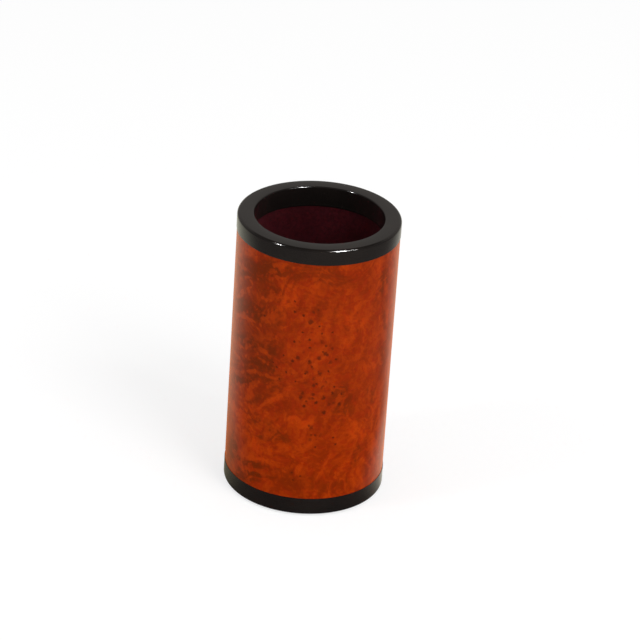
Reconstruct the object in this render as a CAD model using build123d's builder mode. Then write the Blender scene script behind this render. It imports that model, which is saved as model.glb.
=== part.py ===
from build123d import *
import os

# A round pen stand: a tube wrapped in burl veneer, between two black lacquered rings,
# lined with felt. Millimetres, +Z up. The origin is on the table, under the middle of
# the stand, and +Y is the back, where the seam of the veneer is.

# ---- Driving sizes ----
total_height = 110.0  # table to the top face of the mouth ring
body_diameter = 60.0  # across the veneered tube

veneer_thickness = 0.6
seam_width = 0.15  # open line where the two edges of the veneer meet
core_wall = 4.0  # wall of the tube that carries everything
lining_thickness = 1.0  # felt on the wall and on the floor

ring_proud = 0.15  # both rings stand out this far from the veneer
ring_arris = 0.1  # chamfer that eases the edge of a ring next to the veneer
spigot_lead = 0.4  # chamfer that guides a spigot into the tube

top_ring_height = 6.0  # the band seen above the veneer
top_spigot_length = 2.0
lip_inset = 0.3  # the mouth ring stands in front of the felt by this much
rim_round = 1.1  # outer edge of the mouth ring
mouth_ease = 0.4  # chamfer on the inner edge of the mouth ring

base_ring_height = 6.8  # the band seen below the veneer
base_spigot_length = 2.5
foot_ease = 0.8  # chamfer on the lower edge of the base ring
floor_seat_wall = 3.0  # spigot left standing round the floor disc
floor_seat_depth = 5.5  # from the top of the spigot down to the ledge
ledge_width = 3.0  # ledge that carries the floor disc
floor_lead = 0.4  # chamfer that guides the floor disc into its seat

pad_thickness = 1.5
pad_recess = 1.0  # how deep the pad is let into the base ring
pad_rim = 3.0  # lacquered rim left round the pad

# ---- Clearances ----
glue_gap = 0.05  # radial room for glue in every turned fit
felt_gap = 0.05  # radial room round a piece of felt

# ---- Radii, from the outside in ----
body_radius = body_diameter / 2
ring_radius = body_radius + ring_proud
core_radius = body_radius - veneer_thickness - glue_gap
bore_radius = core_radius - core_wall
spigot_radius = bore_radius - glue_gap
lining_radius = bore_radius - felt_gap
lining_bore_radius = lining_radius - lining_thickness
mouth_radius = lining_bore_radius - lip_inset
floor_seat_radius = spigot_radius - floor_seat_wall
ledge_bore_radius = floor_seat_radius - ledge_width
pad_recess_radius = ring_radius - pad_rim

# ---- Levels, from the table up ----
ring_bottom = pad_thickness - pad_recess
body_bottom = ring_bottom + base_ring_height
base_spigot_top = body_bottom + base_spigot_length
ledge_top = base_spigot_top - floor_seat_depth
lining_floor_top = base_spigot_top + lining_thickness
body_top = total_height - top_ring_height
top_spigot_bottom = body_top - top_spigot_length
body_height = body_top - body_bottom


def circle_at(part, radius, level):
    """The one circular edge of a turned part with this radius at this level."""
    circles = part.edges().filter_by(GeomType.CIRCLE)
    return circles.sort_by(lambda edge: abs(edge.radius - radius) + abs(edge.center().Z - level))[0]


# ---- The tube, and the veneer wrapped round it ----
with BuildPart() as core_tube:
    with BuildSketch(Plane.XY.offset(body_bottom)):
        Circle(core_radius)
        Circle(bore_radius, mode=Mode.SUBTRACT)
    extrude(amount=body_height)

with BuildPart() as burl_veneer:
    with BuildSketch(Plane.XY.offset(body_bottom)):
        Circle(body_radius)
        Circle(body_radius - veneer_thickness, mode=Mode.SUBTRACT)
        with Locations((0, body_radius - veneer_thickness / 2)):
            Rectangle(seam_width, 2 * veneer_thickness, mode=Mode.SUBTRACT)
    extrude(amount=body_height)

# ---- The mouth ring: a band over the end of the tube, and a spigot inside it ----
with BuildPart() as top_ring:
    with BuildSketch(Plane.XZ):
        with BuildLine():
            Polyline(
                (mouth_radius, top_spigot_bottom),
                (spigot_radius, top_spigot_bottom),
                (spigot_radius, body_top),
                (ring_radius, body_top),
                (ring_radius, total_height),
                (mouth_radius, total_height),
                close=True,
            )
        make_face()
    revolve(axis=Axis.Z)
    fillet(circle_at(top_ring, ring_radius, total_height), radius=rim_round)
    chamfer(circle_at(top_ring, mouth_radius, total_height), length=mouth_ease)
    chamfer(circle_at(top_ring, ring_radius, body_top), length=ring_arris)
    chamfer(circle_at(top_ring, spigot_radius, top_spigot_bottom), length=spigot_lead)

# ---- The base ring: the same joint turned upside down, with a ledge for the floor ----
with BuildPart() as base_ring:
    with BuildSketch(Plane.XZ):
        with BuildLine():
            Polyline(
                (pad_recess_radius, ring_bottom),
                (ring_radius, ring_bottom),
                (ring_radius, body_bottom),
                (spigot_radius, body_bottom),
                (spigot_radius, base_spigot_top),
                (floor_seat_radius, base_spigot_top),
                (floor_seat_radius, ledge_top),
                (ledge_bore_radius, ledge_top),
                (ledge_bore_radius, pad_thickness),
                (pad_recess_radius, pad_thickness),
                close=True,
            )
        make_face()
    revolve(axis=Axis.Z)
    chamfer(circle_at(base_ring, ring_radius, ring_bottom), length=foot_ease)
    chamfer(circle_at(base_ring, ring_radius, body_bottom), length=ring_arris)
    chamfer(circle_at(base_ring, spigot_radius, base_spigot_top), length=spigot_lead)

# ---- The floor: a stepped disc whose shoulder sits on the ledge ----
with BuildPart() as floor_disc:
    with BuildSketch(Plane.XY.offset(pad_thickness)):
        Circle(ledge_bore_radius - glue_gap)
    extrude(amount=ledge_top - pad_thickness)
    with BuildSketch(Plane.XY.offset(ledge_top)):
        Circle(floor_seat_radius - glue_gap)
    extrude(amount=floor_seat_depth)
    chamfer(circle_at(floor_disc, floor_seat_radius - glue_gap, ledge_top), length=floor_lead)

# ---- The felt: a disc on the floor, and a sleeve that stands on it under the mouth ring ----
with BuildPart() as lining_floor:
    with BuildSketch(Plane.XY.offset(base_spigot_top)):
        Circle(lining_radius)
    extrude(amount=lining_thickness)

with BuildPart() as lining_sleeve:
    with BuildSketch(Plane.XY.offset(lining_floor_top)):
        Circle(lining_radius)
        Circle(lining_bore_radius, mode=Mode.SUBTRACT)
    extrude(amount=top_spigot_bottom - lining_floor_top)

# ---- The pad that the stand rests on ----
with BuildPart() as base_pad:
    with BuildSketch():
        Circle(pad_recess_radius - felt_gap)
    extrude(amount=pad_thickness)

# ---- One file for each piece ----
pieces = {
    "core_tube": core_tube,
    "burl_veneer": burl_veneer,
    "top_ring": top_ring,
    "base_ring": base_ring,
    "floor_disc": floor_disc,
    "lining_floor": lining_floor,
    "lining_sleeve": lining_sleeve,
    "base_pad": base_pad,
}

os.makedirs("parts", exist_ok=True)
for name, piece in pieces.items():
    piece.part.label = name
    export_step(piece.part, f"parts/{name}.step")
    print(name, "volume", round(piece.part.volume), "mm3")
print("mouth across", round(2 * mouth_radius, 2), "mm")
print("depth of the well", round(total_height - lining_floor_top, 2), "mm")
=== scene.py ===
# %% [markdown]
# # A round pen stand in burl veneer and black lacquer
#
# The stand is a lined cup: a tube wrapped in one sheet of burl veneer, a black lacquered ring
# at each end, and felt inside. Its construction comes packed as a frame of solids. This lesson
# dresses the frame. Each piece that shows is made again in the same place as a smooth mesh, and
# every surface gets a finish built from shader nodes. Blender works in metres.

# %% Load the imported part
import math

import bmesh
import bpy
from mathutils import Matrix, Vector


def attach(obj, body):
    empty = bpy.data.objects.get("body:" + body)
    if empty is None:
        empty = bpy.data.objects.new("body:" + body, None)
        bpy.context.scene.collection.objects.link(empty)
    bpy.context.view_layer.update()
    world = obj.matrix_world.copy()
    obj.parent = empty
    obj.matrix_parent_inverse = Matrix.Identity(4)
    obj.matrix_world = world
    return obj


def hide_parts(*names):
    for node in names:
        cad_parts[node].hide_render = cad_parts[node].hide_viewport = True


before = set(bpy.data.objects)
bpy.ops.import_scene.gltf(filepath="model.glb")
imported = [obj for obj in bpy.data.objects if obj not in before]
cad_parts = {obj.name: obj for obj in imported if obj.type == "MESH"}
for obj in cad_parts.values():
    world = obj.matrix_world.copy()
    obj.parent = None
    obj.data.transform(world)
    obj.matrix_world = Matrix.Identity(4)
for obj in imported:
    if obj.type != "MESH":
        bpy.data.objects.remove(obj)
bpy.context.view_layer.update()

MM = 0.001
print("nodes in the frame:", sorted(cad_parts))

# %% [markdown]
# ## Read the sizes from the frame
#
# Every turned piece is known by four sizes: its inner and outer radius, its bottom and its top.
# They could be typed in again, but then a change to the frame would leave the meshes behind. So
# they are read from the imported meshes, and the rest of the lesson works from them.

# %% Sizes of the turned pieces
def turned_sizes(node):
    """Inner radius, outer radius, bottom and top of a turned piece of the frame, in metres."""
    places = [vertex.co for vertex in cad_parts[node].data.vertices]
    radii = [place.xy.length for place in places]
    heights = [place.z for place in places]
    return min(radii), max(radii), min(heights), max(heights)


mouth_radius, ring_radius, mouth_spigot_bottom, stand_top = turned_sizes("top_ring")
ledge_radius, foot_radius, foot_bottom, foot_spigot_top = turned_sizes("base_ring")
bore_radius, _, body_bottom, body_top = turned_sizes("core_tube")
veneer_back, body_radius, _, _ = turned_sizes("burl_veneer")
felt_face, felt_back, felt_bottom, felt_top = turned_sizes("lining_sleeve")
_, floor_disc_radius, _, _ = turned_sizes("floor_disc")
_, felt_floor_radius, felt_floor_bottom, felt_floor_top = turned_sizes("lining_floor")
_, pad_radius, pad_bottom, pad_top = turned_sizes("base_pad")
print("body", round(2 * body_radius / MM, 2), "mm across,", round(stand_top / MM, 2), "mm tall")
print("mouth", round(2 * mouth_radius / MM, 2), "mm across")

# %% [markdown]
# ## The camera
#
# A product photograph is taken from well back with a long lens, so the sides of the tube stay
# almost parallel. The height and tilt of the camera follow from how round the mouth looks, and
# the camera is rolled a little, which makes the stand lean to the right in the picture. Placing
# it by distance, height angle, aim and roll keeps each of those choices in one number.

# %% Camera
PICTURE_SIDE = 640  # pixels
FOCAL_LENGTH = 3150.5  # pixels
SENSOR_WIDTH = 36.0  # mm
CAMERA_DISTANCE = 1.175
CAMERA_HEIGHT_ANGLE = math.radians(27.7)
CAMERA_ROLL = math.radians(3.82)
CAMERA_AIM = Vector((0.00264, 0.0046, 0.06444))

stand_middle = Vector((0, 0, (foot_bottom + stand_top) / 2))
camera_side = Vector((0, -math.cos(CAMERA_HEIGHT_ANGLE), math.sin(CAMERA_HEIGHT_ANGLE)))
camera_place = stand_middle + CAMERA_DISTANCE * camera_side
look = (CAMERA_AIM - camera_place).to_track_quat("-Z", "Y").to_matrix().to_4x4()

lens = bpy.data.cameras.new("camera")
lens.sensor_width = SENSOR_WIDTH
lens.lens = FOCAL_LENGTH / PICTURE_SIDE * SENSOR_WIDTH
camera = bpy.data.objects.new("camera", lens)
camera.matrix_world = Matrix.Translation(camera_place) @ look @ Matrix.Rotation(CAMERA_ROLL, 4, "Z")
bpy.context.scene.collection.objects.link(camera)
bpy.context.scene.camera = camera
bpy.context.scene.view_settings.view_transform = "Standard"
print("lens", round(lens.lens, 1), "mm")

# %% [markdown]
# ## A short way to build shader nodes
#
# A finish is a small machine of nodes joined by wires. Clicking them together and typing
# `tree.nodes.new` for each come to the same thing. This helper does the second in one line a
# node: an input gets a number or colour, or else the output of an earlier node.

# %% Node helpers
MIX_AMOUNT, MIX_FIRST, MIX_OTHER, MIX_RESULT = 0, 6, 7, 2  # sockets of a Mix node set to colour
MIX_NUMBER, MIX_OTHER_NUMBER = 2, 3  # and of one set to numbers
MOST_NOISE = (0.3, 0.7)  # nearly all cloudy noise lies between these


def add(tree, kind, inputs=None, output=0, **settings):
    """Adds a node, with inputs by name or number. Returns an output, or the node if it has none."""
    node = tree.nodes.new("ShaderNode" + kind)
    for name, value in settings.items():
        setattr(node, name, value)
    for name, value in (inputs or {}).items():
        if isinstance(value, bpy.types.NodeSocket):
            tree.links.new(value, node.inputs[name])
        else:
            node.inputs[name].default_value = value
    return node.outputs[output] if len(node.outputs) else node


def maths(tree, operation, first, second=0.0):
    """One step of arithmetic on two numbers."""
    return add(tree, "Math", {0: first, 1: second}, operation=operation)


def times(tree, first, second):
    """The product of two numbers."""
    return maths(tree, "MULTIPLY", first, second)


def ramp(tree, value, low, high, start=0.0, end=1.0):
    """Turns a value between low and high into a soft step from start to end."""
    inputs = {"Value": value, "From Min": low, "From Max": high, "To Min": start, "To Max": end}
    return add(tree, "MapRange", inputs, interpolation_type="SMOOTHSTEP")


def tint(tree, amount, colour, other):
    """Blends a colour towards another by an amount from 0 to 1."""
    inputs = {MIX_AMOUNT: amount, MIX_FIRST: colour, MIX_OTHER: other}
    return add(tree, "Mix", inputs, output=MIX_RESULT, data_type="RGBA")


def grain(tree, place, scale, detail=2.0, roughness=0.5):
    """Cloudy noise about 0.5, with features about 1 / scale across."""
    inputs = {"Vector": place, "Scale": scale, "Detail": detail, "Roughness": roughness}
    return add(tree, "TexNoise", inputs)


def new_material(name):
    """An empty material, with its node tree."""
    material = bpy.data.materials.new(name)
    material.use_nodes = True
    material.node_tree.nodes.clear()
    return material, material.node_tree


# %% [markdown]
# ## The stage
#
# The stand is shown on a plain white floor under soft light. Where the camera sees the floor,
# part of its white is its own glow, so that it comes out white and its shadow pale. Polished
# lacquer is another matter: nearly all that shows on it is what it mirrors, and an all white
# room would wash it out to grey. The Light Path node tells which kind of ray is asking, so the
# gloss can have a room of its own, dark in front, where the camera is, and bright at the sides.

# %% Bearings
def bearing(tree, place):
    """How far to the right and behind a place lies, each from -1 to 1, and its distance."""
    split = add(tree, "SeparateXYZ", {0: place}).node.outputs
    flat = add(tree, "CombineXYZ", {0: split["X"], 1: split["Y"]})
    towards = add(tree, "VectorMath", {0: flat}, operation="NORMALIZE")
    split = add(tree, "SeparateXYZ", {0: towards}).node.outputs
    distance = add(tree, "VectorMath", {0: flat}, output="Value", operation="LENGTH")
    return split["X"], split["Y"], distance


# %% [markdown]
# The side of a standing tube mirrors the floor: its foot mirrors the floor close by, and its top
# the floor further off. So the mirrored floor has near and far colours, in front, on the left
# and on the right. The edges of the tube are seen at a slant and mirror the floor beside and
# behind it, so there the side colours take over from the front ones.

# %% Floor
FLOOR_RADIUS = 3.0
FLOOR_SEGMENTS = 96
FLOOR_WHITE = (0.9, 0.9, 0.9, 1)
WHITE = (1, 1, 1, 1)
FLOOR_GLOW = 0.6  # share of the floor's white that no shadow takes away, for the camera alone
FLOOR_GLOW_STRENGTH = 1.12
FRONT_NEAR, FRONT_FAR = (0.10, 0.085, 0.08, 1), (0.19, 0.175, 0.165, 1)
LEFT_NEAR, LEFT_FAR = (0.44, 0.42, 0.29, 1), (0.76, 0.75, 0.61, 1)
RIGHT_NEAR, RIGHT_FAR = (1.0, 0.95, 0.80, 1), (0.68, 0.66, 0.58, 1)
NEAR_END = 0.035  # distance from the axis at which the near colours end
FRONT_REACH, LEFT_REACH, RIGHT_REACH = 0.16, 0.10, 0.09  # and at which the far ones begin
SIDE_BLEND = 0.5  # how far to the right, and to the left, until one side's colour holds alone
SIDES_FULL = 0.85  # how far behind the front colours are gone
LEFT_HEADSTART, RIGHT_HEADSTART = 0.6, 0.85  # how much sooner the side colours start close by
RIGHT_DELAY = 0.2  # and how much later on the right, near and far

floor_mesh = bpy.data.meshes.new("floor")
build = bmesh.new()
bmesh.ops.create_circle(build, cap_ends=True, radius=FLOOR_RADIUS, segments=FLOOR_SEGMENTS)
build.to_mesh(floor_mesh)
build.free()
floor = bpy.data.objects.new("floor", floor_mesh)
bpy.context.scene.collection.objects.link(floor)

floor_finish, tree = new_material("floor_white")
right, behind, distance = bearing(tree, add(tree, "TexCoord", output="Object"))
front = tint(tree, ramp(tree, distance, NEAR_END, FRONT_REACH), FRONT_NEAR, FRONT_FAR)
left_side = tint(tree, ramp(tree, distance, NEAR_END, LEFT_REACH), LEFT_NEAR, LEFT_FAR)
close = ramp(tree, distance, NEAR_END, RIGHT_REACH, 1.0, 0.0)
right_side = tint(tree, close, RIGHT_FAR, RIGHT_NEAR)
sides = tint(tree, ramp(tree, right, -SIDE_BLEND, SIDE_BLEND), left_side, right_side)
headstart = ramp(tree, right, -1.0, 1.0, LEFT_HEADSTART, RIGHT_HEADSTART)
backward = maths(tree, "ADD", behind, times(tree, close, headstart))
backward = maths(tree, "SUBTRACT", backward, times(tree, right, RIGHT_DELAY))
mirrored = tint(tree, ramp(tree, backward, 0.0, SIDES_FULL), front, sides)

seen_by = tree.nodes.new("ShaderNodeLightPath").outputs
colour = tint(tree, seen_by["Is Glossy Ray"], FLOOR_WHITE, mirrored)
lit = add(tree, "BsdfDiffuse", {"Color": colour})
glow = add(tree, "Emission", {"Color": WHITE, "Strength": FLOOR_GLOW_STRENGTH})
glowing = times(tree, seen_by["Is Camera Ray"], FLOOR_GLOW)
surface = add(tree, "MixShader", {0: glowing, 1: lit, 2: glow})
add(tree, "OutputMaterial", {"Surface": surface})
floor_mesh.materials.append(floor_finish)
print("floor", 2 * FLOOR_RADIUS, "m across")

# %% [markdown]
# Three soft boxes stand in front of the stand, high up. Each is placed by the direction it comes
# from, as a photographer would say it: so far round from the front to the right, and so high.
# The gloss shows each of them as a small bright spot, which makes the glints on the rounded edge
# of the mouth ring. A spot is drawn in the sky, so that its size and strength can be set apart
# from the light that the box gives.

# %% Soft boxes
SOFT_BOX_DISTANCE = 1.6
SOFT_BOXES = (  # name, around, height angle, width, height, light, radius and strength of its spot
    ("soft_box_right", 38, 45, 0.52, 0.80, 0.42, 0.11, 190.0),
    ("soft_box_far_right", 60, 45, 0.12, 0.40, 0.07, 0.035, 90.0),
    ("soft_box_left", -64, 45, 0.20, 0.50, 0.14, 0.045, 320.0),
)


def direction_of(around, height_angle):
    """The direction of a lamp. Around goes from the front to the right, both in degrees."""
    around, height_angle = math.radians(around), math.radians(height_angle)
    flat = math.cos(height_angle)
    return Vector((flat * math.sin(around), -flat * math.cos(around), math.sin(height_angle)))


for name, around, height_angle, width, height, light, _, _ in SOFT_BOXES:
    towards = direction_of(around, height_angle)
    lamp = bpy.data.lights.new(name, "AREA")
    lamp.shape = "RECTANGLE"
    lamp.size, lamp.size_y = width, height
    lamp.energy = light * math.pi ** 2 * SOFT_BOX_DISTANCE ** 2  # light is what a white card shows
    lamp_object = bpy.data.objects.new(name, lamp)
    lamp_turn = (-towards).to_track_quat("-Z", "Y").to_matrix().to_4x4()
    lamp_place = stand_middle + SOFT_BOX_DISTANCE * towards
    lamp_object.matrix_world = Matrix.Translation(lamp_place) @ lamp_turn
    bpy.context.scene.collection.objects.link(lamp_object)
    print(name, "at", [round(value, 2) for value in lamp_place])

# %% [markdown]
# The sky gives the soft light from all round, and is white where the camera sees it. In gloss it
# is the room up to the height of a window, and dark overhead: the flat top of the mouth ring
# mirrors the room, and its rounded edge turns black as it tips up to the dark. A picture of a
# room, wrapped round the scene, would be quicker. A few nodes hold only what this gloss needs,
# and each can be changed by itself.

# %% Sky
SKY_LIGHT = 0.6
ROOM_FRONT = (0.10, 0.10, 0.10, 1)
ROOM_BEHIND = (0.325, 0.305, 0.285, 1)
ROOM_TURN = (-0.1, 0.8)  # how far behind the room's front ends, and its back begins
OVERHEAD = (0.03, 0.03, 0.03, 1)
ROOM_TOP = (0.62, 0.75)  # sines of the height angles at which the room ends and the dark begins
SPOT_EDGE = 0.85  # share of a spot's radius that is fully bright

sky = bpy.data.worlds.new("studio")
bpy.context.scene.world = sky
sky.use_nodes = True
tree = sky.node_tree
tree.nodes.clear()
direction = add(tree, "TexCoord", output="Generated")
rise = add(tree, "SeparateXYZ", {0: direction}, output="Z")
_, behind, _ = bearing(tree, direction)
room = tint(tree, ramp(tree, behind, *ROOM_TURN), ROOM_FRONT, ROOM_BEHIND)
room = tint(tree, ramp(tree, rise, *ROOM_TOP), room, OVERHEAD)

spots = 0.0
for _, around, height_angle, _, _, _, radius, strength in SOFT_BOXES:
    towards = direction_of(around, height_angle)
    off = add(tree, "VectorMath", {0: direction, 1: towards}, output="Value", operation="DISTANCE")
    spots = maths(tree, "ADD", spots, ramp(tree, off, SPOT_EDGE * radius, radius, strength, 0.0))

room_image = add(tree, "Background", {"Color": room})
spot_image = add(tree, "Background", {"Color": WHITE, "Strength": spots})
gloss = add(tree, "AddShader", {0: room_image, 1: spot_image})
soft = add(tree, "Background", {"Color": WHITE, "Strength": SKY_LIGHT})
white = add(tree, "Background", {"Color": WHITE})
seen_by = tree.nodes.new("ShaderNodeLightPath").outputs
not_camera = add(tree, "MixShader", {0: seen_by["Is Glossy Ray"], 1: soft, 2: gloss})
all_rays = add(tree, "MixShader", {0: seen_by["Is Camera Ray"], 1: not_camera, 2: white})
add(tree, "OutputWorld", {"Surface": all_rays})
print("sky light", SKY_LIGHT, "with", len(SOFT_BOXES), "spots in the gloss")

# %% [markdown]
# ## Turning a piece
#
# The rings and felt discs are turned shapes: an outline swept once round the axis. Blender can
# do that with a Screw modifier or with bmesh.ops.spin. The spin is used here, on an outline
# whose corners are rounded first, because a rounded edge catches light and a sharp one doesn't.

# %% Outline and spin helpers
TURNING_STEPS = 256
ARC_STEPS = 7
MERGE_DISTANCE = MM / 1000
SMOOTH_BELOW = math.radians(40)


def rounded(corners):
    """The points of a closed outline. Each corner is (radius, height, rounding)."""
    points = []
    for index, (radius, height, rounding) in enumerate(corners):
        corner = Vector((radius, height))
        if not rounding:
            points.append(corner)
            continue
        before = (Vector(corners[index - 1][:2]) - corner).normalized()
        after = (Vector(corners[(index + 1) % len(corners)][:2]) - corner).normalized()
        half = before.angle(after) / 2
        middle = corner + (before + after).normalized() * rounding / math.sin(half)
        start = (corner + before * rounding / math.tan(half) - middle).normalized()
        end = (corner + after * rounding / math.tan(half) - middle).normalized()
        for step in range(ARC_STEPS + 1):
            points.append(middle + rounding * start.slerp(end, step / ARC_STEPS))
    return points


def piece_from(name, build):
    """Turns a finished bmesh into a smooth shaded piece of the scene."""
    mesh = bpy.data.meshes.new(name)
    bmesh.ops.recalc_face_normals(build, faces=build.faces)
    build.to_mesh(mesh)
    build.free()
    mesh.shade_smooth()
    mesh.set_sharp_from_angle(angle=SMOOTH_BELOW)
    piece = bpy.data.objects.new(name, mesh)
    bpy.context.scene.collection.objects.link(piece)
    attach(piece, "root")
    print(name, "has", len(mesh.polygons), "faces")
    return piece


def turned(name, corners):
    """A solid of revolution from the corners of its outline. A line on the axis sweeps nothing."""
    build = bmesh.new()
    dots = [build.verts.new((point.x, 0, point.y)) for point in rounded(corners)]
    pairs = [(dot, dots[index - 1]) for index, dot in enumerate(dots)]
    lines = [build.edges.new(pair) for pair in pairs if pair[0].co.x or pair[1].co.x]
    bmesh.ops.spin(build, geom=dots + lines, cent=(0, 0, 0), axis=(0, 0, 1), angle=2 * math.pi,
                   steps=TURNING_STEPS, use_merge=True)
    bmesh.ops.remove_doubles(build, verts=build.verts, dist=MERGE_DISTANCE)
    return piece_from(name, build)


# %% [markdown]
# ## The mouth ring
#
# On the real stand this is turned from hardwood or resin and lacquered black. It caps the end
# of the tube, and a thin spigot goes down inside, in front of the top of the felt. The outer
# edge is well rounded, the inner one only eased. A cylinder with a bevel would have every edge
# equally round, so the ring is turned from an outline that gives each corner its own rounding.

# %% Mouth ring
GLUE_GAP = 0.05 * MM
RIM_ROUND = 1.1 * MM
MOUTH_ROUND = 0.45 * MM
ARRIS_ROUND = 0.12 * MM
SPIGOT_ROUND = 0.3 * MM
spigot_radius = bore_radius - GLUE_GAP

mouth_ring = turned("mouth_ring", [
    (mouth_radius, mouth_spigot_bottom, SPIGOT_ROUND),
    (spigot_radius, mouth_spigot_bottom, SPIGOT_ROUND),
    (spigot_radius, body_top, 0),
    (ring_radius, body_top, ARRIS_ROUND),
    (ring_radius, stand_top, RIM_ROUND),
    (mouth_radius, stand_top, MOUTH_ROUND),
])
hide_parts("top_ring")

# %% [markdown]
# ## The foot ring
#
# The same band turned upside down. Its upper edge is left crisp, so that no glint parts it from
# the veneer. Below, it is cut back for the felt pad, and inside it has the ledge that carries
# the floor. Those parts are hidden once the stand is glued up, and are kept so that the piece
# fits its neighbours. They could be cut out with booleans, but those leave long thin faces that
# shade badly, and a few more corners in the outline do the same.

# %% Foot ring
FOOT_ROUND = 1.0 * MM
pad_seat_radius = pad_radius + GLUE_GAP
floor_seat_radius = floor_disc_radius + GLUE_GAP
ledge_top = min(
    vertex.co.z
    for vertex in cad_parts["base_ring"].data.vertices
    if abs(vertex.co.xy.length - floor_seat_radius) < GLUE_GAP / 2
)

foot_ring = turned("foot_ring", [
    (pad_seat_radius, foot_bottom, ARRIS_ROUND),
    (foot_radius, foot_bottom, FOOT_ROUND),
    (foot_radius, body_bottom, 0),
    (spigot_radius, body_bottom, 0),
    (spigot_radius, foot_spigot_top, SPIGOT_ROUND),
    (floor_seat_radius, foot_spigot_top, 0),
    (floor_seat_radius, ledge_top, 0),
    (ledge_radius, ledge_top, 0),
    (ledge_radius, pad_top, 0),
    (pad_seat_radius, pad_top, 0),
])
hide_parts("base_ring")

# %% [markdown]
# ## The burl sheet
#
# Veneer is a flat sheet bent round the tube until its two edges meet, so it is made that way:
# a strip of columns from one edge round to the other, with a front and a back. The edges meet
# at the back of the stand. A tube turned like the rings would have no seam at all.

# %% Burl sheet
SEAM_WIDTH = 0.15 * MM
SEAM_AT = math.pi  # how far round from the front
SHEET_COLUMNS = 256
SHEET_ROWS = 12


def wrapped_sheet(name, front, back, bottom, top, seam_at, seam_width):
    """A sheet bent round the axis. seam_at is how far round from the front its edges meet."""
    build = bmesh.new()
    reach = math.pi - seam_width / (2 * front)
    grids = []
    for radius in (front, back):
        grid = []
        for column in range(SHEET_COLUMNS + 1):
            angle = seam_at + math.pi + reach * (2 * column / SHEET_COLUMNS - 1)
            for row in range(SHEET_ROWS + 1):
                height = bottom + (top - bottom) * row / SHEET_ROWS
                place = (radius * math.sin(angle), -radius * math.cos(angle), height)
                grid.append(build.verts.new(place))
        grids.append(grid)
    side = SHEET_ROWS + 1
    for grid in grids:
        for column in range(SHEET_COLUMNS):
            for row in range(SHEET_ROWS):
                first = column * side + row
                corners = (first, first + side, first + side + 1, first + 1)
                build.faces.new([grid[corner] for corner in corners])
    bmesh.ops.bridge_loops(build, edges=[edge for edge in build.edges if edge.is_boundary])
    return piece_from(name, build)


burl_sheet = wrapped_sheet("burl_sheet", body_radius, veneer_back, body_bottom, body_top,
                           SEAM_AT, SEAM_WIDTH)
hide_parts("burl_veneer")

# %% [markdown]
# ## The felt
#
# The lining is a felt disc on the floor and a felt strip round the wall, pushed up under the
# spigot. The strip's own seam is turned to the front, where the wall can hardly be seen.
# Below the foot ring a round felt pad keeps the stand off the desk. Felt could be given real
# hairs, but from a step away they would only blur its edge a little, so the meshes get a soft
# edge instead and the material gives the rest.

# %% Felt pieces
FELT_SEAM = 0.2 * MM
FELT_SEAM_AT = 0.0
FELT_ROUND = 0.35 * MM


def felt_disc(name, radius, bottom, top):
    """A round of felt with a soft edge."""
    return turned(name, [(0, bottom, 0), (radius, bottom, FELT_ROUND), (radius, top, FELT_ROUND),
                         (0, top, 0)])


felt_wall = wrapped_sheet("felt_wall", felt_face, felt_back, felt_bottom, felt_top,
                          FELT_SEAM_AT, FELT_SEAM)
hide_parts("lining_sleeve")

felt_floor = felt_disc("felt_floor", felt_floor_radius, felt_floor_bottom, felt_floor_top)
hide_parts("lining_floor")

felt_pad = felt_disc("felt_pad", pad_radius, pad_bottom, pad_top)
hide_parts("base_pad")

# %% [markdown]
# ## Black lacquer
#
# Lacquer is a black base under a hard, smooth film. Nearly all that is seen of it is what it
# mirrors, so the base colour is close to black and the roughness is low. Rubbed lacquer is
# never quite even: a slow ripple bends the mirror image, and wiping leaves faint hazy patches.
# One roughness for all of it would be simpler, and would look like moulded plastic.

# %% Black lacquer
BLACK = (0.0075, 0.0060, 0.0054, 1)
BROWN_BLACK = (0.0110, 0.0085, 0.0072, 1)
LACQUER_IOR = 1.5
HAZE_SCALE = 60.0
HAZE_ROUGHNESS = (0.07, 0.12)  # of the clearest and the haziest patches
RIPPLE_SCALE = 140.0
RIPPLE_DEPTH = 0.02 * MM

black_lacquer, tree = new_material("black_lacquer")
place = add(tree, "TexCoord", output="Object")
haze = grain(tree, place, HAZE_SCALE, detail=3.0)
colour = tint(tree, ramp(tree, haze, *MOST_NOISE), BLACK, BROWN_BLACK)
roughness = ramp(tree, haze, *MOST_NOISE, *HAZE_ROUGHNESS)
ripple = grain(tree, place, RIPPLE_SCALE, detail=1.0)
bend = add(tree, "Bump", {"Height": ripple, "Strength": 1.0, "Distance": RIPPLE_DEPTH})
surface = add(tree, "BsdfPrincipled", {
    "Base Color": colour, "Roughness": roughness, "IOR": LACQUER_IOR, "Normal": bend,
})
add(tree, "OutputMaterial", {"Surface": surface})
for ring in (mouth_ring, foot_ring):
    ring.data.materials.append(black_lacquer)
print("lacquer on", mouth_ring.name, "and", foot_ring.name)

# %% [markdown]
# ## Burl veneer
#
# Burl is the wood of a knotty growth, cut so that its grain wanders. Its figure is drawn on the
# unrolled sheet, in millimetres: across from the front, and up from the table. A photograph
# wrapped on the tube would be quicker, but nodes stay sharp at any distance, and at the seam the
# two edges of the sheet don't match, just as on real veneer.

# %% Place on the unrolled sheet
burl, tree = new_material("burl")
place = add(tree, "TexCoord", output="Object")
split = add(tree, "SeparateXYZ", {0: place}).node.outputs
around = maths(tree, "ARCTAN2", split["X"], times(tree, split["Y"], -1.0))
across = times(tree, around, body_radius / MM)
up = maths(tree, "DIVIDE", split["Z"], MM)
sheet = add(tree, "CombineXYZ", {0: across, 1: up})
print("burl drawn on a sheet", round(2 * math.pi * body_radius / MM, 1), "mm wide")

# %% [markdown]
# Three helpers draw on the sheet. The first pushes a place about by noise, which turns straight
# and round marks into natural ones. The second is a soft oval mark. The third averages noise at
# a few places along the grain. That smears it into strokes that follow the grain as it turns.

# %% Marks on the sheet
BRUSH_REACH = 3  # places to each side
NOISE_MIDDLE = (0.5, 0.5, 0.5)


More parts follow.
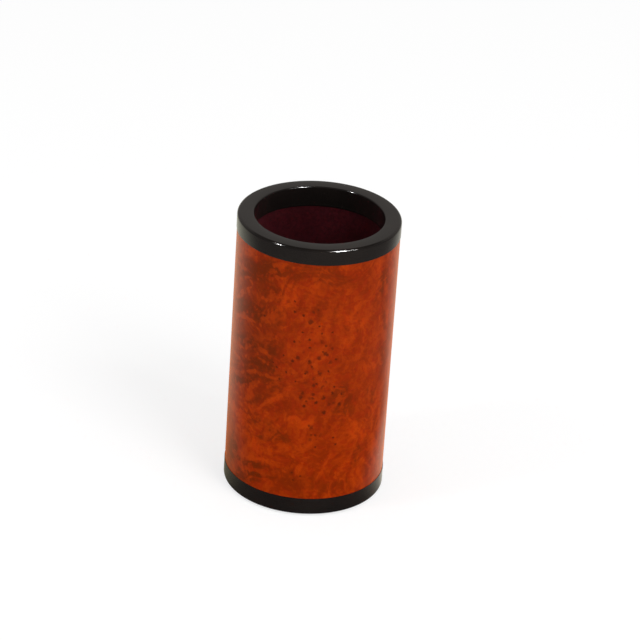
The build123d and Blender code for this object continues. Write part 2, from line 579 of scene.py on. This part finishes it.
def moved(tree, place, amount, scale, detail=2.0):
    """A place pushed about by noise, by up to half the amount each way."""
    inputs = {"Vector": place, "Scale": scale, "Detail": detail}
    push = add(tree, "TexNoise", inputs, output="Color")
    centred = add(tree, "VectorMath", {0: push, 1: NOISE_MIDDLE}, operation="SUBTRACT")
    reach = add(tree, "VectorMath", {0: centred, "Scale": amount}, operation="SCALE")
    return add(tree, "VectorMath", {0: place, 1: reach}, operation="ADD")


def spot(tree, place, across, up, length, width, tilt=0.0, core=0.5, edge=1.3):
    """A soft oval: 1 inside core half-widths from its middle, and 0 outside edge half-widths."""
    inputs = {"Vector": place, "Location": (across, up, 0), "Rotation": (0, 0, math.radians(tilt)),
              "Scale": (length / 2, width / 2, 1)}
    oval = add(tree, "Mapping", inputs, vector_type="TEXTURE")
    far = add(tree, "VectorMath", {0: oval}, output="Value", operation="LENGTH")
    return ramp(tree, far, core, edge, 1.0, 0.0)


def brushed(tree, place, along, scale, step, detail):
    """Noise smeared along the grain, in strokes about 1 / scale wide."""
    total = grain(tree, place, scale, detail)
    for index in range(1, BRUSH_REACH + 1):
        for shift in (index * step, -index * step):
            offset = add(tree, "VectorMath", {0: along, "Scale": shift}, operation="SCALE")
            there = add(tree, "VectorMath", {0: place, 1: offset}, operation="ADD")
            total = maths(tree, "ADD", total, grain(tree, there, scale, detail))
    return maths(tree, "DIVIDE", total, 2 * BRUSH_REACH + 1)


# %% [markdown]
# ## The grain of the burl
#
# On the left the grain lies nearly flat and rises to the right, and towards the right it turns
# upright. Below the mouth ring it runs in bowls round a knot that was cut away. Noise sways it
# everywhere, so that no two places are alike round the back either. A wave texture would give
# straight grain at once, but burl has none, so every place gets an angle of its own to follow.

# %% Grain direction
TURN_FROM, TURN_TO = -26.0, 26.0  # across the front
LEFT_ANGLE, RIGHT_ANGLE = math.radians(18), math.radians(100)
SWAY = 0.7  # radians each way
SWAY_SCALE = 0.075
BOWL_ACROSS, BOWL_UP, BOWL_SIZE = 14.0, 108.0, 26.0  # the knot that the bowls run round

turn = ramp(tree, across, TURN_FROM, TURN_TO, LEFT_ANGLE, RIGHT_ANGLE)
sway = ramp(tree, grain(tree, sheet, SWAY_SCALE), *MOST_NOISE, -SWAY, SWAY)
angle = maths(tree, "ADD", turn, sway)
from_bowl = (maths(tree, "SUBTRACT", up, BOWL_UP), maths(tree, "SUBTRACT", across, BOWL_ACROSS))
bowls = maths(tree, "ADD", maths(tree, "ARCTAN2", *from_bowl), math.pi / 2)
near_bowls = spot(tree, sheet, BOWL_ACROSS, BOWL_UP, BOWL_SIZE, BOWL_SIZE, core=0.7, edge=1.2)
between = {MIX_AMOUNT: near_bowls, MIX_NUMBER: angle, MIX_OTHER_NUMBER: bowls}
angle = add(tree, "Mix", between, data_type="FLOAT")
along = add(tree, "CombineXYZ", {0: maths(tree, "COSINE", angle), 1: maths(tree, "SINE", angle)})
print("grain turns from", round(math.degrees(LEFT_ANGLE)), "to", round(math.degrees(RIGHT_ANGLE)))

# %% [markdown]
# Noise at several scales makes up the wood between its marks. Broad and fine strokes follow the
# grain. Clouds change the shade slowly, red drifts and mottling quickly. Round the knot the
# rings of growth show as faint lines.

# %% Strokes, clouds and mottling
RING_SPACING = 1.5
RING_LINE = (0.3, 1.0)  # where on its wave a growth ring begins, and where it is full
RING_STRENGTH = 0.4

wander = moved(tree, sheet, amount=10.0, scale=0.05)
lumpy = moved(tree, wander, amount=2.2, scale=0.26)
broad = brushed(tree, lumpy, along, scale=0.34, step=2.0, detail=1.0)
fine = brushed(tree, lumpy, along, scale=1.1, step=0.8, detail=2.0)
clouds = grain(tree, wander, scale=0.10, detail=3.0, roughness=0.6)
redness = grain(tree, lumpy, scale=0.30, detail=1.0)
mottling = grain(tree, lumpy, scale=0.50, detail=2.0, roughness=0.7)

bowl_middle = (BOWL_ACROSS, BOWL_UP, 0)
from_knot = add(tree, "VectorMath", {0: lumpy, 1: bowl_middle}, output="Value",
                operation="DISTANCE")
ring_lines = maths(tree, "SINE", times(tree, from_knot, 2 * math.pi / RING_SPACING))
ring_lines = times(tree, ramp(tree, ring_lines, *RING_LINE, 0.0, RING_STRENGTH), near_bowls)
print("growth rings every", RING_SPACING, "mm round the knot")

# %% [markdown]
# ## Feathers and lenses
#
# Where the grain dives into the wood it shows dark feathers, and where it lies flat, bright
# lenses. Those of the front are listed one by one, because they make this sheet the one it is. Each
# is an oval, and the noise that moves its edge makes it ragged.

# %% Dark feathers and bright lenses
DARK_FEATHERS = (  # across, up, length, width, tilt, depth
    (-20, 97, 30, 9, 20, 0.9), (-31, 92, 22, 6, 14, 0.75), (-21, 80, 20, 10, 14, 1.0),
    (-31, 78, 18, 8, 10, 0.9), (-24, 66, 28, 6, 12, 1.0), (-23, 58, 28, 6, 24, 1.0),
    (-27, 50, 24, 6, 28, 1.0), (-15, 61, 20, 5, 84, 0.9), (-20, 44, 16, 4, 30, 0.5),
    (-20, 35, 16, 4, 4, 0.9), (-16, 30, 14, 3, 16, 0.8), (-22, 17, 22, 3.5, 12, 0.9),
    (-21, 12.5, 24, 3, 13, 1.0), (-24, 9.5, 18, 2.5, 10, 0.9),
    (-17, 89, 14, 6, 10, 0.7), (-12, 54, 12, 5, 60, 0.6), (-34, 18, 16, 12, 60, 0.9),
    (13, 48, 18, 12, 100, 0.7), (21, 24, 12, 4, 90, 0.8), (8, 13, 22, 9, -10, 0.45),
    (31, 75, 20, 6, 85, 0.5), (4, 84, 14, 8, 90, 0.35),
    (2, 100, 30, 9, -15, 0.5), (29, 92, 15, 7, 75, 0.7), (7, 85, 13, 4, 90, 0.5),
    (-12, 34, 16, 5, -22, 0.7), (35, 64, 24, 10, 80, 0.5), (-36, 14, 18, 9, 60, 0.9),
    (-4, 14, 18, 10, -40, 0.4), (26, 47, 12, 5, 110, 0.5), (-10, 99, 15, 8, 0, 0.5),
)
BRIGHT_LENSES = (  # as above
    (-10, 89, 16, 8, 80, 0.8), (-23, 85, 9, 6, -30, 1.0), (-17, 71, 15, 5, 22, 1.0),
    (-15, 80, 6, 4, 60, 0.8), (-28, 56, 10, 3.5, 25, 0.8), (-3, 40, 12, 6, -15, 0.9),
    (-21, 27, 20, 8, -50, 0.7), (16, 80, 12, 10, 0, 0.7), (21, 33, 13, 10, -50, 0.9),
    (14, 73, 8, 5, 80, 0.8), (24, 59, 8, 5, 0, 0.8), (2, 71, 13, 10, 90, 0.5),
    (-13, 47, 8, 4, 40, 0.8), (-27, 36, 22, 10, 15, 0.9), (30, 32, 44, 12, 90, 0.45),
)


def marks(tree, place, ovals):
    """The strongest of several soft ovals."""
    total = 0.0
    for *oval, depth in ovals:
        total = maths(tree, "MAXIMUM", total, times(tree, spot(tree, place, *oval), depth))
    return total


frayed = moved(tree, sheet, amount=4.0, scale=0.14)
frayed = moved(tree, frayed, amount=2.0, scale=0.5, detail=1.0)
dark = marks(tree, frayed, DARK_FEATHERS)
bright = marks(tree, frayed, BRIGHT_LENSES)
print(len(DARK_FEATHERS), "feathers and", len(BRIGHT_LENSES), "lenses")

# %% [markdown]
# Round the back nobody knows the sheet by its marks, so a slow noise can put them down. Feathers
# come where the noise is high, and lenses where it is low.

# %% Feathers and lenses further round
FRONT_END, BACK_BEGIN = 36.0, 46.0  # across, each way from the front
FEATHER_DRIFT = (0.51, 0.60)  # where in the noise feathers begin, and where they are full
LENS_DRIFT = (0.46, 0.38)  # and lenses

away = ramp(tree, maths(tree, "ABSOLUTE", across), FRONT_END, BACK_BEGIN)
drift = grain(tree, moved(tree, wander, amount=6.0, scale=0.14), scale=0.06)
dark = maths(tree, "MAXIMUM", dark, times(tree, ramp(tree, drift, *FEATHER_DRIFT), away))
bright = maths(tree, "MAXIMUM", bright, times(tree, ramp(tree, drift, *LENS_DRIFT), away))
print("the back begins", BACK_BEGIN, "mm round")

# %% [markdown]
# ## Knots
#
# Burl is full of pin knots, the buds that never grew. Voronoi noise scatters them, one to a cell,
# and chance leaves about half of them bare. A trail of them runs down the front, where the larger
# ones are listed one by one, and round the back a cloud decides where they crowd.

# %% Pin knots
PIN_SPACING = 2.1
PIN_SIZES = (0.2, 0.42)  # radius of the smallest and the largest, in cells
PIN_CHANCE = (0.45, 0.5)  # luck below the first leaves a cell bare
PIN_DEPTH = 0.85
PIN_EDGE = (-0.6, 0.5)  # from outside a knot to inside it
CROWDING = (0.47, 0.57)  # where in their noise the knots of the back begin, and crowd most
LARGE_KNOTS = (  # across, up, size
    (-0.7, 74, 1.0), (-6.3, 72.3, 1.1), (-0.4, 70.6, 0.9), (-0.2, 65.2, 1.3), (0.7, 63, 1.0),
    (2.8, 56, 1.1), (9, 51.8, 1.3), (6, 50.3, 1.1), (3.2, 48.1, 1.4), (-1, 46.5, 1.4),
    (6.3, 44, 1.5), (12, 47, 1.5), (-6.5, 64.5, 1.3), (-18.8, 79.5, 1.0), (9.6, 54.5, 1.0),
    (-3.5, 76.8, 0.8), (3.6, 76.5, 0.9), (2.4, 79.6, 0.8), (7.4, 77, 0.9), (4.5, 69, 0.9),
    (9.5, 66, 0.9), (-1.5, 60, 1.0), (7, 61, 0.9), (-5, 56, 0.9), (12.5, 51, 1.0),
    (-14, 62, 0.9), (-12.5, 60.5, 1.0), (-8.5, 59.5, 0.9), (-10, 66, 0.8), (-11, 56, 0.9),
    (3.5, 34.5, 0.9), (10.5, 33, 1.0), (11.5, 30, 1.0), (4, 29.5, 0.9), (-4, 18, 0.9),
    (-3.5, 15, 0.9), (-1, 17, 0.8), (-7, 88.5, 0.9), (-6.8, 84.5, 0.9), (-3.5, 83.5, 0.9),
)

scattered = moved(tree, sheet, amount=1.2, scale=0.9)
cells = add(tree, "TexVoronoi", {"Vector": scattered, "Scale": 1 / PIN_SPACING}).node.outputs
luck = add(tree, "SeparateColor", {0: cells["Color"]}).node.outputs
size = ramp(tree, luck["Green"], 0.0, 1.0, *PIN_SIZES)
inside = maths(tree, "SUBTRACT", 1.0, maths(tree, "DIVIDE", cells["Distance"], size))
chance = ramp(tree, luck["Red"], *PIN_CHANCE, 0.0, PIN_DEPTH)
pins = times(tree, ramp(tree, inside, *PIN_EDGE), chance)

crowds = ramp(tree, grain(tree, sheet, scale=0.06, detail=1.0), *CROWDING)
crowds = times(tree, crowds, away)
trail = moved(tree, sheet, amount=8.0, scale=0.1)
trail = spot(tree, trail, across=1, up=60, length=66, width=19, tilt=95, core=0.8, edge=1.1)
pins = times(tree, pins, maths(tree, "MAXIMUM", crowds, trail))
ragged = moved(tree, sheet, amount=1.2, scale=1.0, detail=1.0)
for knot_across, knot_up, knot_size in LARGE_KNOTS:
    knot = spot(tree, ragged, knot_across, knot_up, knot_size, knot_size)
    pins = maths(tree, "MAXIMUM", pins, knot)
print(len(LARGE_KNOTS), "large knots")

# %% [markdown]
# ## Colours of the burl
#
# The sheet is dyed orange red. Its colours can't be read straight off a photograph, because the
# light is in them too. So each was guessed, rendered under this scene's light, compared with the
# photograph and set again. Each has its own name.

# %% Paints
ORANGE = (0.286, 0.0250, 0.0005, 1)
BRIGHT = (0.425, 0.0425, 0.0014, 1)
BRIGHT_RED = (0.430, 0.0370, 0.0010, 1)
RED = (0.272, 0.0172, 0.0008, 1)
RED_BROWN = (0.190, 0.0148, 0.0003, 1)
SHADED = (0.150, 0.0158, 0.0006, 1)
DARK_BROWN = (0.134, 0.0158, 0.0006, 1)
KNOT = (0.095, 0.0110, 0.0008, 1)
LENS_REDNESS = (0.45, 0.60)  # where the red drifts begin to redden the lenses, and do so fully

lens_colour = tint(tree, ramp(tree, redness, *LENS_REDNESS), BRIGHT, BRIGHT_RED)
print("ground from", RED_BROWN[:3], "to", BRIGHT[:3])

# %% [markdown]
# Not every mark lies evenly. The middle of the front is calmer, so the strokes are weaker there,
# and the upper left is shaded. Feathers and lenses are broken up by the strokes that run through
# them, and where the two meet the lens holds the feather back.

# %% Where the coats thin out
CALMING = 0.45  # share of the strokes that the calm middle takes away
FINE_SHARE = 0.5  # of the fine strokes, beside the broad ones
FEATHER_BREAK, THIN_FEATHER = (0.77, 0.73), 0.3  # from strokes that thin it to strokes that don't
LENS_BREAK, THIN_LENS = (0.72, 0.77), 0.55
LENS_COVER = 0.6  # share of a feather that a lens takes away

calm = spot(tree, frayed, across=10, up=62, length=90, width=50, tilt=90, core=0.5, edge=1.2)
lively = maths(tree, "SUBTRACT", 1.0, times(tree, calm, CALMING))
shaded = spot(tree, frayed, across=-24, up=74, length=72, width=27, tilt=92, core=0.6, edge=1.2)
strokes = maths(tree, "ADD", broad, times(tree, fine, FINE_SHARE))
feathers = times(tree, dark, ramp(tree, strokes, *FEATHER_BREAK, THIN_FEATHER, 1.0))
feathers = times(tree, feathers, maths(tree, "SUBTRACT", 1.0, times(tree, bright, LENS_COVER)))
lenses = times(tree, bright, ramp(tree, strokes, *LENS_BREAK, THIN_LENS, 1.0))
print("the calm middle takes away", CALMING, "of the strokes")

# %% [markdown]
# The colours go on in coats, as a painter would lay them: the ground, then the red drifts, the
# strokes and lenses, the mottling, the shade and the feathers, the fine strokes, and the knots
# last. Each coat is a colour and how strongly it is laid, place by place. A narrow step in the
# noise gives a coat crisp edges, as the cut cells of burl have. One colour ramp over one noise
# would be shorter, but a coat can be thought of, and changed, by itself.

# %% Coats of colour
GROUND_CLOUDS = (0.36, 0.66)  # from the darkest ground to the brightest
ORANGE_STRENGTH = 0.6
SHADE_STRENGTH = 0.48
KNOT_STRENGTH = 0.95


def coat(noise, start, full, strength, within=1.0):
    """How strongly a coat is laid, as a noise passes from its start to where it lies full."""
    return times(tree, ramp(tree, noise, start, full, 0.0, strength), within)


coats = (
    (ORANGE, ORANGE_STRENGTH),
    (RED, coat(redness, start=0.50, full=0.56, strength=0.60)),
    (BRIGHT, coat(broad, start=0.51, full=0.57, strength=0.62, within=lively)),
    (lens_colour, lenses),
    (RED_BROWN, coat(broad, start=0.49, full=0.43, strength=0.60, within=lively)),
    (RED_BROWN, coat(mottling, start=0.53, full=0.60, strength=0.28)),
    (BRIGHT, coat(mottling, start=0.44, full=0.37, strength=0.25)),
    (RED_BROWN, ring_lines),
    (SHADED, times(tree, shaded, SHADE_STRENGTH)),
    (BRIGHT, coat(broad, start=0.515, full=0.565, strength=0.60, within=shaded)),
    (DARK_BROWN, feathers),
    (RED_BROWN, coat(fine, start=0.51, full=0.58, strength=0.24)),
    (BRIGHT, coat(fine, start=0.47, full=0.41, strength=0.20)),
    (KNOT, times(tree, pins, KNOT_STRENGTH)),
)
colour = tint(tree, ramp(tree, clouds, *GROUND_CLOUDS), RED_BROWN, BRIGHT)
for paint, amount in coats:
    colour = tint(tree, amount, colour, paint)
print(len(coats), "coats on the ground colour")

# %% [markdown]
# The wood lies under a clear coat. The coat mirrors the room like the black rings do, only more
# weakly, and the wood below scatters light. Towards the edges of the tube, where it is seen at a
# slant, the lacquered wood glows a little warmer, and sheen of its own colour gives that.

# %% Burl surface
WOOD_ROUGHNESS = 0.55
COAT_IOR, COAT_ROUGHNESS = 1.3, 0.04
COAT_RIPPLE_SCALE = 110.0
COAT_RIPPLE_DEPTH = 0.015 * MM
SHEEN_ROUGHNESS = 0.3
SHEEN_COLOUR = (1.0, 0.20, 0.02, 1)

ripple = grain(tree, place, COAT_RIPPLE_SCALE, detail=1.0)
bend = add(tree, "Bump", {"Height": ripple, "Strength": 1.0, "Distance": COAT_RIPPLE_DEPTH})
surface = add(tree, "BsdfPrincipled", {
    "Base Color": colour, "Roughness": WOOD_ROUGHNESS, "Specular IOR Level": 0.0,
    "Coat Weight": 1.0, "Coat IOR": COAT_IOR, "Coat Roughness": COAT_ROUGHNESS,
    "Coat Normal": bend, "Sheen Weight": 1.0, "Sheen Roughness": SHEEN_ROUGHNESS,
    "Sheen Tint": SHEEN_COLOUR,
})
add(tree, "OutputMaterial", {"Surface": surface})
burl_sheet.data.materials.append(burl)
print("burl uses", len(tree.nodes), "nodes")

# %% [markdown]
# ## Felt
#
# Felt is pressed wool: no weave, only a mat of short hairs. It hardly shines, it glows softly
# where it is seen edge on, and its colour wanders a little. Sheen gives the glow, and bump from
# two sizes of noise gives the mat.

# %% Felt finish
WINE, WORN_WINE = (0.022, 0.0012, 0.0026, 1), (0.044, 0.0026, 0.0048, 1)
SOOT, WORN_SOOT = (0.008, 0.008, 0.008, 1), (0.018, 0.018, 0.018, 1)
FELT_SHEEN = (0.5, 0.08, 0.12, 1)
MAT_SCALE, LUMP_SCALE = 900.0, 120.0
LUMP_RANGE, LUMP_SHADE = (0.35, 0.7), 0.5  # how the lumps pass into the deep shade
LUMP_HEIGHT = 1.5  # of the lumps, beside the hairs
MAT_DEPTH = 0.12 * MM


def felt(name, deep, worn):
    """A felt material between two shades of one dye."""
    material, tree = new_material(name)
    place = add(tree, "TexCoord", output="Object")
    hairs = grain(tree, place, MAT_SCALE, detail=3.0, roughness=0.7)
    lumps = grain(tree, place, LUMP_SCALE)
    colour = tint(tree, ramp(tree, hairs, *MOST_NOISE), deep, worn)
    colour = tint(tree, ramp(tree, lumps, *LUMP_RANGE, 0.0, LUMP_SHADE), colour, deep)
    height = maths(tree, "ADD", hairs, times(tree, lumps, LUMP_HEIGHT))
    bend = add(tree, "Bump", {"Height": height, "Strength": 1.0, "Distance": MAT_DEPTH})
    surface = add(tree, "BsdfPrincipled", {
        "Base Color": colour, "Roughness": 0.95, "Specular IOR Level": 0.1, "Normal": bend,
        "Sheen Weight": 0.08, "Sheen Roughness": 0.5, "Sheen Tint": FELT_SHEEN,
    })
    add(tree, "OutputMaterial", {"Surface": surface})
    return material


wine_felt = felt("wine_felt", WINE, WORN_WINE)
black_felt = felt("black_felt", SOOT, WORN_SOOT)
felt_wall.data.materials.append(wine_felt)
felt_floor.data.materials.append(wine_felt)
felt_pad.data.materials.append(black_felt)
print("felts:", wine_felt.name, "and", black_felt.name)

# %% [markdown]
# ## The hidden wood
#
# The tube and the floor disc stay as the frame has them: they carry the rest and don't show.
# They still get a plain turned wood, with wavering bands of grain, so that no surface is bare.

# %% Core wood
PALE_WOOD, DARK_WOOD = (0.50, 0.34, 0.20, 1), (0.38, 0.24, 0.13, 1)
WOOD_BANDS = {"Scale": 180.0, "Distortion": 6.0, "Detail": 3.0}
BARE_WOOD_ROUGHNESS = 0.7

core_wood, tree = new_material("core_wood")
place = add(tree, "TexCoord", output="Object")
bands = add(tree, "TexWave", {"Vector": place, **WOOD_BANDS}, output="Fac")
colour = tint(tree, bands, DARK_WOOD, PALE_WOOD)
surface = add(tree, "BsdfPrincipled", {"Base Color": colour, "Roughness": BARE_WOOD_ROUGHNESS})
add(tree, "OutputMaterial", {"Surface": surface})
for node in ("core_tube", "floor_disc"):
    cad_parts[node].data.materials.clear()
    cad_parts[node].data.materials.append(core_wood)
print("plain wood on the tube and the floor disc")
